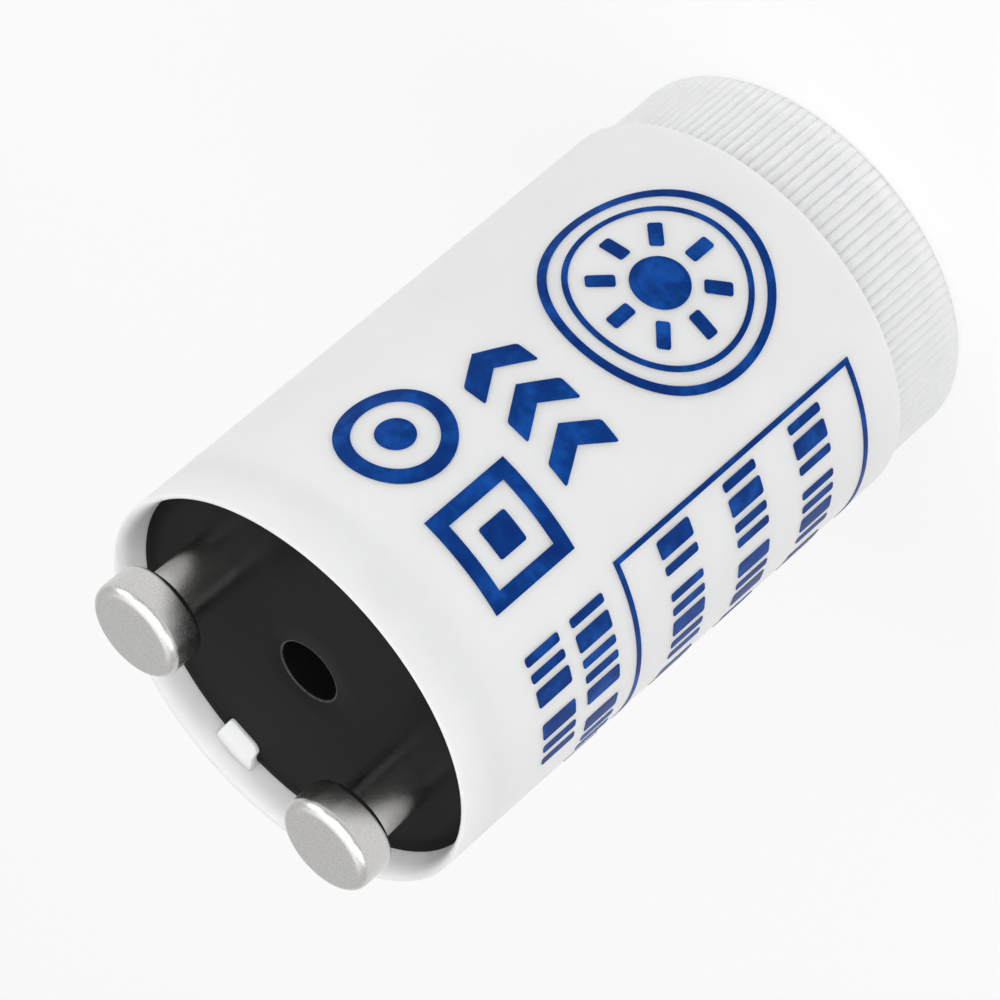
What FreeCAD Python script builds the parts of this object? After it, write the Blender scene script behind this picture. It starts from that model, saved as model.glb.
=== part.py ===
import FreeCAD, Part
import math
import os

# Glow starter for a fluorescent lamp, in millimetres.
# It stands on its closed, ribbed end, which is at z = 0, with the two contact pins up and on the X axis.

# Canister: one white moulding, open at the pin end
body_radius = 10.62
wall = 0.5
rim_height = 35.8
rim_edge_chamfer = 0.08
floor_thickness = 1.0
ledge_width = 0.35

# Ribbed grip at the closed end
grip_height = 5.1
grip_inset = 0.42
grip_edge_round = 0.45
step_edge_chamfer = 0.1
rib_count = 126
groove_width = 0.28
groove_depth = 0.2
groove_run_out = 0.1

# Snap lugs that hold the disc down
lug_count = 2
lug_width = 2.0
lug_reach = 1.35
lug_height = 0.6
lug_lip = 0.2

# Base disc
recess_depth = 1.5
disc_thickness = 1.5
disc_clearance = 0.04
vent_radius = 1.63

# Contact pins
pin_spacing = 12.7
head_radius = 2.5
head_thickness = 2.05
head_edge_round = 0.32
head_back_round = 0.3
neck_radius = 1.5
neck_length = 3.35
shank_radius = 1.1
shank_clearance = 0.03
rivet_radius = 1.6
rivet_thickness = 0.35
tail_length = 3.0
tail_bore_radius = 0.7
tail_bore_depth = 2.4

# Glow bulb and what is sealed in it, with its radius and its side gap as shares of the radius inside
bulb_radius_share = 0.4054
bulb_side_gap_share = 0.1663
glass_thickness = 0.45
bulb_tip_gap = 4.0
tip_length = 1.5
tip_radius = 0.8
tip_end_radius = 0.3
press_width = 5.4
press_depth = 2.0
press_height = 4.5
press_edge_round = 0.8
press_below_tails = 2.8
rod_radius = 0.4
rod_spacing = 2.3
rod_seal_depth = 1.6
post_length = 3.6
electrode_end_gap = 4.0

# Bimetal strip, bent to a U
strip_thickness = 0.2
strip_width = 2.0
strip_bend_radius = 0.5
strip_return = 5.5
strip_end_gap = 2.6
weld_length = 1.4
weld_gap = 0.03

# Capacitor, with its width, depth and side gap as shares of the radius inside
capacitor_width_share = 1.04
capacitor_depth_share = 0.468
capacitor_side_gap_share = 0.083
capacitor_height = 11.0
capacitor_edge_round = 0.6
capacitor_below_tails = 4.2
capacitor_lead_spacing = 7.5

# Wires and solder
wire_radius = 0.2
wire_bend_radius = 0.9
wire_run_below_tails = 1.3
wire_offset_in_tail = 0.32
wire_depth_in_tail = 1.6
solder_depth = 1.2

# Printed marks on the side, as a thin layer of ink
ink_thickness = 0.05
ink_facet_deg = 3.0
ink_start_above_step = 2.5
roundel_azimuth = -76.0
roundel_radius = 5.6
roundel_line = 0.45
inner_ring_radius = 4.5
inner_ring_line = 0.3
sun_radius = 1.45
ray_count = 8
ray_width = 0.7
ray_start = 2.05
ray_end = 3.45
row_gap = 1.7
chevron_count = 3
chevron_azimuth = -81.5
chevron_spacing = 2.6
chevron_width = 1.3
chevron_height = 3.6
chevron_point = 1.1
mark_size = 5.6
mark_gap = 1.2
target_azimuth = -61.5
target_line = 0.8
target_dot_radius = 0.95
square_azimuth = -97.5
square_size = 5.2
square_line = 0.8
square_dot_size = 1.7
frame_azimuth = -121.0
frame_span_deg = 114.0
frame_height = 16.5
frame_line = 0.3
text_height = 2.2
text_pitch = 4.6
text_indent_deg = 4.0
bar_width = 0.5
bar_gap = 0.42
word_gap = 1.05
lower_text_gap = 1.2
lower_text_pitch = 3.0

# Sizes that follow from the ones above
inner_radius = body_radius - wall
rim_round = wall - rim_edge_chamfer
lower_radius = inner_radius - ledge_width
grip_radius = body_radius - grip_inset
disc_radius = inner_radius - disc_clearance
disc_seat_z = rim_height - recess_depth - disc_thickness
disc_top_z = disc_seat_z + disc_thickness
head_back_z = disc_top_z + neck_length
tail_end_z = disc_seat_z - tail_length
pin_x = pin_spacing / 2
wire_run_z = tail_end_z - wire_run_below_tails
wire_end_z = tail_end_z + wire_depth_in_tail
press_top_z = tail_end_z - press_below_tails
press_bottom_z = press_top_z - press_height
bulb_radius = lower_radius * bulb_radius_share
bulb_y = lower_radius - lower_radius * bulb_side_gap_share - bulb_radius
dome_top_centre_z = press_bottom_z - bulb_radius * 0.55
dome_bottom_centre_z = floor_thickness + bulb_tip_gap + tip_length + bulb_radius
cavity_radius = bulb_radius - glass_thickness
cavity_bottom_z = dome_bottom_centre_z - cavity_radius
rod_x = rod_spacing / 2
rod_top_z = press_bottom_z + rod_seal_depth
post_end_z = rod_top_z - rod_seal_depth - post_length
capacitor_top_z = tail_end_z - capacitor_below_tails
capacitor_width = lower_radius * capacitor_width_share
capacitor_depth = lower_radius * capacitor_depth_share
capacitor_reach = lower_radius - lower_radius * capacitor_side_gap_share
capacitor_far_y = -math.sqrt(capacitor_reach**2 - (capacitor_width / 2) ** 2)
capacitor_y = capacitor_far_y + capacitor_depth / 2

V = FreeCAD.Vector
UP = V(0, 0, 1)


def revolved(points):
    """Solid of revolution about Z of a closed outline of (radius, z) points and arcs between them."""
    edges = []
    here = points[-1][-2:]
    for point in points:
        if len(point) == 2:
            edges.append(Part.LineSegment(V(here[0], 0, here[1]), V(point[0], 0, point[1])).toShape())
            here = point
        else:
            through = point[:2]
            end = point[2:]
            arc = Part.Arc(V(here[0], 0, here[1]), V(through[0], 0, through[1]), V(end[0], 0, end[1]))
            edges.append(arc.toShape())
            here = end
    return Part.Face(Part.Wire(edges)).revolve(V(0, 0, 0), UP, 360)


def rounded(centre_r, centre_z, radius, from_deg, to_deg):
    """Arc of a revolved outline: its middle and end point, about a centre, as one outline entry."""
    middle = math.radians((from_deg + to_deg) / 2)
    end = math.radians(to_deg)
    return (
        centre_r + radius * math.cos(middle),
        centre_z + radius * math.sin(middle),
        centre_r + radius * math.cos(end),
        centre_z + radius * math.sin(end),
    )


def cylinder(radius, bottom_z, top_z, x=0.0, y=0.0):
    return Part.makeCylinder(radius, top_z - bottom_z, V(x, y, bottom_z), UP)


def bent_wire(points):
    """Round wire along straight runs, with a tangent arc at each inner point."""
    edges = []
    here = points[0]
    for before, corner, after in zip(points, points[1:], points[2:]):
        incoming = (corner - before).normalize()
        outgoing = (after - corner).normalize()
        turn = incoming.getAngle(outgoing)
        cut = wire_bend_radius * math.tan(turn / 2)
        start = corner - incoming * cut
        end = corner + outgoing * cut
        towards_centre = (outgoing - incoming).normalize()
        centre = corner + towards_centre * (wire_bend_radius / math.cos(turn / 2))
        middle = centre - towards_centre * wire_bend_radius
        edges.append(Part.LineSegment(here, start).toShape())
        edges.append(Part.Arc(start, middle, end).toShape())
        here = end
    edges.append(Part.LineSegment(here, points[-1]).toShape())
    path = Part.Wire(edges)
    section = Part.Wire([Part.Circle(points[0], points[1] - points[0], wire_radius).toShape()])
    return path.makePipeShell([section], True, True)


def make_canister():
    outside = revolved([
        (0, 0),
        (grip_radius - grip_edge_round, 0),
        rounded(grip_radius - grip_edge_round, grip_edge_round, grip_edge_round, -90, 0),
        (grip_radius, grip_height),
        (body_radius - step_edge_chamfer, grip_height),
        (body_radius, grip_height + step_edge_chamfer),
        (body_radius, rim_height - rim_edge_chamfer),
        (body_radius - rim_edge_chamfer, rim_height),
        rounded(inner_radius + rim_round, rim_height - rim_round, rim_round, 90, 180),
        (inner_radius, disc_seat_z),
        (lower_radius, disc_seat_z),
        (lower_radius, floor_thickness),
        (0, floor_thickness),
    ])
    canister = outside.cut(Part.makeCompound([make_groove(rib) for rib in range(rib_count)]))
    canister = canister.fuse([make_lug(90 + 360.0 * lug / lug_count) for lug in range(lug_count)])
    return canister.removeSplitter()


def make_groove(rib):
    """Wedge taken out between two ribs, from just above the rounded end edge up to the step."""
    floor_radius = grip_radius - groove_depth
    mouth_radius = grip_radius + groove_depth / 2
    half_mouth = groove_width / 2 * (mouth_radius - floor_radius) / groove_depth
    start_z = grip_edge_round + groove_run_out
    outline = [V(floor_radius, 0, 0), V(mouth_radius, -half_mouth, 0), V(mouth_radius, half_mouth, 0)]
    groove = Part.Face(Part.makePolygon(outline + outline[:1])).extrude(V(0, 0, grip_height - start_z))
    groove.translate(V(0, 0, start_z))
    groove.rotate(V(0, 0, 0), UP, 360.0 * rib / rib_count)
    return groove


def make_lug(azimuth):
    """Snap lug: flat under, sloping on top, so that the disc pushes past it once."""
    half_deg = math.degrees(lug_width / 2 / inner_radius)
    root_radius = inner_radius + wall / 2
    tip_r = inner_radius - lug_reach
    outline = [
        V(root_radius, 0, disc_top_z),
        V(tip_r, 0, disc_top_z),
        V(tip_r, 0, disc_top_z + lug_lip),
        V(inner_radius, 0, disc_top_z + lug_height),
        V(root_radius, 0, disc_top_z + lug_height),
        V(root_radius, 0, disc_top_z),
    ]
    lug = Part.Face(Part.makePolygon(outline)).revolve(V(0, 0, 0), UP, 2 * half_deg)
    lug.rotate(V(0, 0, 0), UP, azimuth - half_deg)
    return lug


def polar(radius, azimuth_deg, z=0.0):
    azimuth = math.radians(azimuth_deg)
    return V(radius * math.cos(azimuth), radius * math.sin(azimuth), z)


def make_base_disc():
    disc = cylinder(disc_radius, disc_seat_z, disc_top_z)
    disc = disc.cut(cylinder(vent_radius, disc_seat_z, disc_top_z))
    for side in (1, -1):
        disc = disc.cut(cylinder(shank_radius + shank_clearance, disc_seat_z, disc_top_z, side * pin_x))
    return disc


def make_contact_pin(side):
    """Headed pin, riveted under the disc, with a bored tail for the wires."""
    head_top_z = head_back_z + head_thickness
    pin = revolved([
        (0, head_top_z),
        (0, tail_end_z + tail_bore_depth),
        (tail_bore_radius, tail_end_z + tail_bore_depth),
        (tail_bore_radius, tail_end_z),
        (shank_radius, tail_end_z),
        (shank_radius, disc_seat_z - rivet_thickness),
        (rivet_radius, disc_seat_z - rivet_thickness),
        (rivet_radius, disc_seat_z),
        (shank_radius, disc_seat_z),
        (shank_radius, disc_top_z),
        (neck_radius, disc_top_z),
        (neck_radius, head_back_z),
        (head_radius - head_back_round, head_back_z),
        rounded(head_radius - head_back_round, head_back_z + head_back_round, head_back_round, -90, 0),
        (head_radius, head_top_z - head_edge_round),
        rounded(head_radius - head_edge_round, head_top_z - head_edge_round, head_edge_round, 0, 90),
    ])
    pin.translate(V(side * pin_x, 0, 0))
    return pin


def make_bulb_lead(side):
    """Wire from its rod in the glass press, out and up into the tail of its pin."""
    return bent_wire([
        V(side * rod_x, bulb_y, rod_top_z),
        V(side * rod_x, bulb_y, wire_run_z),
        V(side * pin_x, wire_offset_in_tail, wire_run_z),
        V(side * pin_x, wire_offset_in_tail, wire_end_z),
    ])


def make_capacitor_lead(side):
    lead_x = side * capacitor_lead_spacing / 2
    return bent_wire([
        V(lead_x, capacitor_y, capacitor_top_z),
        V(lead_x, capacitor_y, wire_run_z),
        V(side * pin_x, -wire_offset_in_tail, wire_run_z),
        V(side * pin_x, -wire_offset_in_tail, wire_end_z),
    ])


def make_solder(side, wires):
    solder = cylinder(tail_bore_radius, tail_end_z, tail_end_z + solder_depth, side * pin_x)
    for wire in wires:
        solder = solder.cut(wire)
    return solder


def make_fixed_electrode():
    return cylinder(rod_radius, cavity_bottom_z + electrode_end_gap, rod_top_z, rod_x, bulb_y)


def make_blade_post():
    return cylinder(rod_radius, post_end_z, rod_top_z, -rod_x, bulb_y)


def make_bimetal_strip():
    """Flat strip bent to a U: its long leg lies against the post, its short one faces the electrode."""
    outer_right = -rod_x - rod_radius - weld_gap
    outer_left = outer_right - strip_thickness
    inner_left = outer_right + 2 * strip_bend_radius
    inner_right = inner_left + strip_thickness
    centre_x = (outer_right + inner_left) / 2
    centre_z = cavity_bottom_z + strip_end_gap + strip_bend_radius + strip_thickness
    top_z = post_end_z + weld_length
    return_z = centre_z + strip_return
    outer_bottom_z = centre_z - strip_bend_radius - strip_thickness
    inner_bottom_z = centre_z - strip_bend_radius
    front_y = bulb_y - strip_width / 2

    def at(x, z):
        return V(x, front_y, z)

    edges = [
        Part.LineSegment(at(outer_left, top_z), at(outer_left, centre_z)).toShape(),
        Part.Arc(at(outer_left, centre_z), at(centre_x, outer_bottom_z), at(inner_right, centre_z)).toShape(),
        Part.LineSegment(at(inner_right, centre_z), at(inner_right, return_z)).toShape(),
        Part.LineSegment(at(inner_right, return_z), at(inner_left, return_z)).toShape(),
        Part.LineSegment(at(inner_left, return_z), at(inner_left, centre_z)).toShape(),
        Part.Arc(at(inner_left, centre_z), at(centre_x, inner_bottom_z), at(outer_right, centre_z)).toShape(),
        Part.LineSegment(at(outer_right, centre_z), at(outer_right, top_z)).toShape(),
        Part.LineSegment(at(outer_right, top_z), at(outer_left, top_z)).toShape(),
    ]
    return Part.Face(Part.Wire(edges)).extrude(V(0, strip_width, 0))


def capsule(radius, bottom_centre_z, top_centre_z):
    return revolved([
        (0, bottom_centre_z - radius),
        rounded(0, bottom_centre_z, radius, -90, 0),
        (radius, top_centre_z),
        rounded(0, top_centre_z, radius, 0, 90),
    ])


def make_glow_bulb(sealed_wires):
    """Glass envelope with a flat press at the top, where the wires are sealed in, and a drawn-off tip."""
    glass = capsule(bulb_radius, dome_bottom_centre_z, dome_top_centre_z)
    press = Part.makeBox(
        press_width,
        press_depth,
        press_height,
        V(-press_width / 2, -press_depth / 2, press_bottom_z),
    )
    upright = [edge for edge in press.Edges if abs(edge.tangentAt(edge.FirstParameter).z) > 0.99]
    press = press.makeFillet(min(press_edge_round, press_depth * 0.45), upright)
    tip_top_z = dome_bottom_centre_z - cavity_radius
    tip_bottom_z = dome_bottom_centre_z - bulb_radius - tip_length
    tip = revolved([
        (0, tip_top_z),
        (0, tip_bottom_z),
        (tip_end_radius, tip_bottom_z),
        (tip_radius, tip_top_z),
    ])
    glass = glass.fuse([press, tip]).cut(capsule(cavity_radius, dome_bottom_centre_z, dome_top_centre_z))
    glass.translate(V(0, bulb_y, 0))
    for wire in sealed_wires:
        glass = glass.cut(wire)
    return glass


def make_capacitor():
    body = Part.makeBox(
        capacitor_width,
        capacitor_depth,
        capacitor_height,
        V(-capacitor_width / 2, capacitor_far_y, capacitor_top_z - capacitor_height),
    )
    return body.makeFillet(capacitor_edge_round, body.Edges)


def ink_ring_points(radius, from_deg, to_deg):
    """Points on a ring of flat facets that lie outside the given radius."""
    steps = max(1, math.ceil(abs(to_deg - from_deg) / ink_facet_deg))
    facet = (to_deg - from_deg) / steps
    outside = radius / math.cos(math.radians(facet / 2))
    return [polar(outside, from_deg + facet * step) for step in range(steps + 1)]


def ink_band(azimuth, arc_length, bottom_z, height):
    """Thin block of ink that runs from an azimuth clockwise, seen from the pins, along the side."""
    end = azimuth - math.degrees(arc_length / body_radius)
    inner = ink_ring_points(body_radius, azimuth, end)
    outer = ink_ring_points(body_radius + ink_thickness, azimuth, end)
    outline = inner + outer[::-1] + inner[:1]
    band = Part.Face(Part.makePolygon(outline)).extrude(V(0, 0, height))
    band.translate(V(0, 0, bottom_z))
    return band


def ink_tube():
    """Closed ring of ink over the whole printed height, from which rounder marks are taken."""
    inner = ink_ring_points(body_radius, 0, 360)[:-1]
    outer = ink_ring_points(body_radius + ink_thickness, 0, 360)[:-1]
    ring = Part.Face(Part.makePolygon(outer + outer[:1])).cut(Part.Face(Part.makePolygon(inner + inner[:1])))
    tube = ring.extrude(V(0, 0, rim_height - grip_height))
    tube.translate(V(0, 0, grip_height))
    return tube


def stamped(tube, azimuth, z, flat_face):
    """Mark whose outline is a flat face in the YZ plane, laid on the side at an azimuth and a height."""
    stamp = flat_face.extrude(V(body_radius * 2, 0, 0))
    stamp.rotate(V(0, 0, 0), UP, azimuth)
    stamp.translate(V(0, 0, z))
    return stamp.common(tube)


def across(arc_length):
    """Straight width whose ends lie a given arc length to the side of a mark's middle."""
    return body_radius * math.sin(arc_length / body_radius)


def round_face(radius, hole_radius=0.0):
    """Disc or ring that is round once it is wrapped on the side."""
    wires = []
    for size in (radius, hole_radius):
        if size > 0:
            ellipse = Part.Ellipse(V(0, 0, size), V(0, across(size), 0), V(0, 0, 0))
            wires.append(Part.Wire([ellipse.toShape()]))
    face = Part.Face(wires[0])
    if len(wires) > 1:
        face = face.cut(Part.Face(wires[1]))
    return face


def outline_face(points):
    corners = [V(0, across(arc), z) for arc, z in points]
    return Part.Face(Part.makePolygon(corners + corners[:1]))


def square_points(size):
    half = size / 2
    return [(-half, -half), (half, -half), (half, half), (-half, half)]


def ray_face(angle_deg):
    """Short bar that points away from the middle of the sun."""
    angle = math.radians(angle_deg)
    half = ray_width / 2
    points = []
    for along, aside in ((ray_start, -half), (ray_end, -half), (ray_end, half), (ray_start, half)):
        points.append((
            along * math.cos(angle) - aside * math.sin(angle),
            along * math.sin(angle) + aside * math.cos(angle),
        ))
    return outline_face(points)


def bar_row(azimuth, bottom_z, groups):
    """Row of upright bars in groups, where such a part has its ratings, with the wide bars twice as wide."""
    bars = []
    arc = 0.0
    for group in groups:
        for bar in group:
            width = bar_width * (2 if bar == "W" else 1)
            start = azimuth - math.degrees(arc / body_radius)
            bars.append(ink_band(start, width, bottom_z, text_height))
            arc += width + bar_gap
        arc += word_gap - bar_gap
    return bars


def make_printed_marks():
    tube = ink_tube()
    marks = []
    first_z = grip_height + ink_start_above_step

    roundel_z = first_z + roundel_radius
    marks.append(stamped(tube, roundel_azimuth, roundel_z, round_face(roundel_radius, roundel_radius - roundel_line)))
    inner_hole = inner_ring_radius - inner_ring_line
    marks.append(stamped(tube, roundel_azimuth, roundel_z, round_face(inner_ring_radius, inner_hole)))
    marks.append(stamped(tube, roundel_azimuth, roundel_z, round_face(sun_radius)))
    for ray in range(ray_count):
        marks.append(stamped(tube, roundel_azimuth, roundel_z, ray_face(360.0 * ray / ray_count)))

    chevron_z = roundel_z + roundel_radius + row_gap + chevron_height / 2
    half = chevron_height / 2
    for chevron in range(chevron_count):
        offset = (chevron - (chevron_count - 1) / 2) * chevron_spacing
        face = outline_face([
            (chevron_width / 2, -half),
            (chevron_width / 2 - chevron_point, 0),
            (chevron_width / 2, half),
            (-chevron_width / 2, half),
            (-chevron_width / 2 - chevron_point, 0),
            (-chevron_width / 2, -half),
        ])
        azimuth = chevron_azimuth - math.degrees(offset / body_radius)
        marks.append(stamped(tube, azimuth, chevron_z, face))

    mark_z = chevron_z + half + mark_gap + mark_size / 2
    target_radius = mark_size / 2
    marks.append(stamped(tube, target_azimuth, mark_z, round_face(target_radius, target_radius - target_line)))
    marks.append(stamped(tube, target_azimuth, mark_z, round_face(target_dot_radius)))
    square = outline_face(square_points(square_size))
    square = square.cut(outline_face(square_points(square_size - 2 * square_line)))
    marks.append(stamped(tube, square_azimuth, mark_z, square))
    marks.append(stamped(tube, square_azimuth, mark_z, outline_face(square_points(square_dot_size))))

    frame_arc = body_radius * math.radians(frame_span_deg)
    frame_top_z = first_z + frame_height
    far_azimuth = frame_azimuth - math.degrees((frame_arc - frame_line) / body_radius)
    side_height = frame_height - 2 * frame_line
    marks.append(ink_band(frame_azimuth, frame_arc, first_z, frame_line).fuse([
        ink_band(frame_azimuth, frame_arc, frame_top_z - frame_line, frame_line),
        ink_band(frame_azimuth, frame_line, first_z + frame_line, side_height),
        ink_band(far_azimuth, frame_line, first_z + frame_line, side_height),
    ]))
    text_azimuth = frame_azimuth - text_indent_deg
    text_z = first_z + (frame_height - 2 * text_pitch - text_height) / 2
    marks += bar_row(text_azimuth, text_z, ["NWN", "NNWN", "WN", "NNW"])
    marks += bar_row(text_azimuth, text_z + text_pitch, ["NWNN", "WNW", "NNN", "WN"])
    marks += bar_row(text_azimuth, text_z + 2 * text_pitch, ["WN", "NNWNN", "WNW"])
    lower_z = frame_top_z + lower_text_gap
    marks += bar_row(text_azimuth, lower_z, ["NWNNW", "WNN", "NW"])
    marks += bar_row(text_azimuth, lower_z + lower_text_pitch, ["NNW", "WNN"])

    solids = []
    for mark in marks:
        solids += mark.Solids
    return Part.makeCompound(solids)


bulb_lead = {side: make_bulb_lead(side) for side in (1, -1)}
capacitor_lead = {side: make_capacitor_lead(side) for side in (1, -1)}
fixed_electrode = make_fixed_electrode()
blade_post = make_blade_post()

nodes = {
    "canister": make_canister(),
    "base_disc": make_base_disc(),
    "contact_pin_left": make_contact_pin(-1),
    "contact_pin_right": make_contact_pin(1),
    "glow_bulb": make_glow_bulb([fixed_electrode, blade_post, bulb_lead[1], bulb_lead[-1]]),
    "fixed_electrode": fixed_electrode,
    "blade_post": blade_post,
    "bimetal_strip": make_bimetal_strip(),
    "bulb_lead_left": bulb_lead[-1],
    "bulb_lead_right": bulb_lead[1],
    "capacitor": make_capacitor(),
    "capacitor_lead_left": capacitor_lead[-1],
    "capacitor_lead_right": capacitor_lead[1],
    "solder_left": make_solder(-1, [bulb_lead[-1], capacitor_lead[-1]]),
    "solder_right": make_solder(1, [bulb_lead[1], capacitor_lead[1]]),
    "printed_marks": make_printed_marks(),
}

os.makedirs("parts", exist_ok=True)
for name, shape in nodes.items():
    shape.exportStep("parts/" + name + ".step")
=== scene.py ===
import bmesh
import bpy
import math
from mathutils import Matrix, Vector


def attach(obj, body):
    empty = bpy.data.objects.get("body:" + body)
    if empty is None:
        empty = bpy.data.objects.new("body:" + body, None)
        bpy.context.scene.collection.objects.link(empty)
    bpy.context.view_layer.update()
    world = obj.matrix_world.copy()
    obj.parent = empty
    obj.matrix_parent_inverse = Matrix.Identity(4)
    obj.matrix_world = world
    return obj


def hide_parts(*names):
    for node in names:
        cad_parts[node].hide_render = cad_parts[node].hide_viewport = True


# Glow starter for a fluorescent lamp, in metres: its finishes, its visible pieces, the camera and the light.

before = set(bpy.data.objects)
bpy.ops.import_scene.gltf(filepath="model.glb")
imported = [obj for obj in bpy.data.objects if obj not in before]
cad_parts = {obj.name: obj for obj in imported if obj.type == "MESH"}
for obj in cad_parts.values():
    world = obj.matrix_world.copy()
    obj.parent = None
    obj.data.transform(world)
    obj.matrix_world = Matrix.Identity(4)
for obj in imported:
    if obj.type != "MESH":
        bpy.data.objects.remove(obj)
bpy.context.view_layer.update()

MM = 0.001
TAU = 2 * math.pi
IMAGE_SIZE = 1000

# Canister, in millimetres as in the part's source; a ring is an extra row of points in a long face
BODY_RADIUS = 10.62
WALL = 0.5
RIM_HEIGHT = 35.8
RIM_EDGE_ROUND = 0.08
RIM_LEAD_IN = 0.95
FLOOR_THICKNESS = 1.0
LEDGE_WIDTH = 0.35
GRIP_HEIGHT = 5.1
GRIP_INSET = 0.42
GRIP_EDGE_ROUND = 0.45
STEP_EDGE_ROUND = 0.12
RIB_COUNT = 126
GROOVE_DEPTH = 0.15
COLUMNS_PER_RIB = 8
# Share of the groove's depth at each column of a rib
GROOVE_SHARE = (1.0, 0.5, 0.12, 0.02, 0.0, 0.02, 0.12, 0.5)
CLOSED_END_RING = 4.0
GRIP_RING_GAP = 0.1
BODY_RING_GAP = 1.0
LUG_WIDTH = 2.0
LUG_REACH = 1.35
LUG_HEIGHT = 0.46
LUG_LIP = 0.2
LUG_TIP_CORNERS = (0.2, 0.5)
LUG_EDGE_ROUND = 0.24
LUG_FILLETS = (0.08, 0.7)
LUG_TOP_FILLET = 0.6
LUG_FILLET_RISE = 0.24
LUG_FILLET_STEPS = 8

# Disc and pins
RECESS_DEPTH = 1.5
DISC_THICKNESS = 1.5
DISC_CLEARANCE = 0.04
VENT_RADIUS = 1.63
VENT_EDGE_ROUND = 0.07
VENT_COLLAR_WIDTH = 0.25
VENT_COLLAR_DEPTH = 0.6
DISC_RINGS = (3.0, 6.0)
DISC_EDGE_WIDTH = 0.7
DISC_EDGE_DROP = 0.06
DISC_EDGE_STEPS = 8
DISC_STEPS = 180
PIN_SPACING = 12.7
HEAD_RADIUS = 2.5
HEAD_THICKNESS = 2.05
HEAD_EDGE_ROUND = 0.48
HEAD_BACK_ROUND = 0.36
HEAD_RING_SHARE = 0.6
NECK_RADIUS = 1.5
NECK_LENGTH = 3.35
SHANK_RADIUS = 1.1
RIVET_RADIUS = 1.6
RIVET_THICKNESS = 0.35
TAIL_LENGTH = 3.0
TAIL_BORE_RADIUS = 0.7
TAIL_BORE_DEPTH = 2.4
PIN_STEPS = 128

INNER_RADIUS = BODY_RADIUS - WALL
RIM_INNER_ROUND = WALL - RIM_EDGE_ROUND
LOWER_RADIUS = INNER_RADIUS - LEDGE_WIDTH
GRIP_RADIUS = BODY_RADIUS - GRIP_INSET
DISC_SEAT_Z = RIM_HEIGHT - RECESS_DEPTH - DISC_THICKNESS
DISC_TOP_Z = DISC_SEAT_Z + DISC_THICKNESS
HEAD_BACK_Z = DISC_TOP_Z + NECK_LENGTH
HEAD_TOP_Z = HEAD_BACK_Z + HEAD_THICKNESS
PIN_X = PIN_SPACING / 2

# Print on the side: azimuths in degrees, sizes in millimetres
INK_PROUD = 0.025
INK_SUNK = 0.02
INK_CORNER = 0.14
WRAP_STEP = 0.35
RING_SEGMENTS = 120
DOT_SEGMENTS = 72
FIRST_Z = GRIP_HEIGHT + 2.5
ROUNDEL_AZIMUTH = -76.0
ROUNDEL_RADIUS = 5.6
ROUNDEL_LINE = 0.45
INNER_RING_RADIUS = 4.5
INNER_RING_LINE = 0.3
SUN_RADIUS = 1.45
RAY_COUNT = 8
RAY_WIDTH = 0.7
RAY_START = 2.05
RAY_END = 3.45
ROW_GAP = 1.7
CHEVRON_COUNT = 3
CHEVRON_AZIMUTH = -81.5
CHEVRON_SPACING = 2.6
CHEVRON_WIDTH = 1.3
CHEVRON_HEIGHT = 3.6
CHEVRON_POINT = 1.1
MARK_SIZE = 5.6
MARK_GAP = 1.2
TARGET_AZIMUTH = -61.5
TARGET_LINE = 0.8
TARGET_DOT_RADIUS = 0.95
SQUARE_AZIMUTH = -97.5
SQUARE_SIZE = 5.2
SQUARE_LINE = 0.8
SQUARE_DOT_SIZE = 1.7
FRAME_AZIMUTH = -121.0
FRAME_SPAN_DEG = 114.0
FRAME_HEIGHT = 16.5
FRAME_LINE = 0.3
TEXT_HEIGHT = 2.2
TEXT_PITCH = 4.6
TEXT_INDENT_DEG = 4.0
BAR_WIDTH = 0.5
BAR_GAP = 0.42
WORD_GAP = 1.05
LOWER_TEXT_GAP = 1.2
LOWER_TEXT_PITCH = 3.0
FRAME_ROWS = (("NWN", "NNWN", "WN", "NNW"), ("NWNN", "WNW", "NNN", "WN"), ("WN", "NNWNN", "WNW"))
LOWER_ROWS = (("NWNNW", "WNN", "NW"), ("NNW", "WNN"))

# Masks in the finishes: distances from the axis or widths, in millimetres
# Painted light: the white finish turns paler between these two distances from the axis, inside the rim and on
# the grip
PAINTED_LIGHT_FROM_RADIUS = INNER_RADIUS + 0.35
PAINTED_LIGHT_FULL_RADIUS = INNER_RADIUS - 0.05
# Painted shade: the disc's face darkens outwards of this distance from the axis, along the rim's wall
PAINTED_SHADE_RADIUS = INNER_RADIUS - DISC_EDGE_WIDTH
PAINTED_SHADE_BLEND = 0.2
VENT_EDGE_RADIUS = VENT_RADIUS + VENT_EDGE_ROUND
VENT_EDGE_Z = DISC_TOP_Z - VENT_EDGE_ROUND
# The vent's rounded upper edge is drawn lighter within these distances
VENT_LIGHTER_WIDTH = 0.04
VENT_LIGHTER_BLEND = 0.02

# Places of a colour mixing node's colours among its sockets
MIX_FIRST_COLOUR = 6
MIX_SECOND_COLOUR = 7
MIX_RESULT_COLOUR = 2

# Mesh work: a tolerance in millimetres, distances to merge and to cut in metres,
# and the bend in degrees from which an edge stays sharp
TOLERANCE = 0.01
MERGE_DISTANCE = 1e-7
CUT_TOLERANCE = 1e-9
SHARP_FROM_DEG = 40


def linear(hex_colour):
    """Linear colour of an sRGB hex value."""
    values = [int(hex_colour[i:i + 2], 16) / 255 for i in (1, 3, 5)]
    values = [v / 12.92 if v <= 0.04045 else ((v + 0.055) / 1.055) ** 2.4 for v in values]
    return (*values, 1.0)


def add_node(tree, kind, settings=None, **links):
    """Adds a shader node, sets its properties and inputs, and links its inputs."""
    node = tree.nodes.new(kind)
    for name, value in (settings or {}).items():
        if hasattr(node, name):
            setattr(node, name, value)
        else:
            node.inputs[name].default_value = value
    for name, source in links.items():
        tree.links.new(source, node.inputs[name.replace("_", " ")])
    return node


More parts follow.
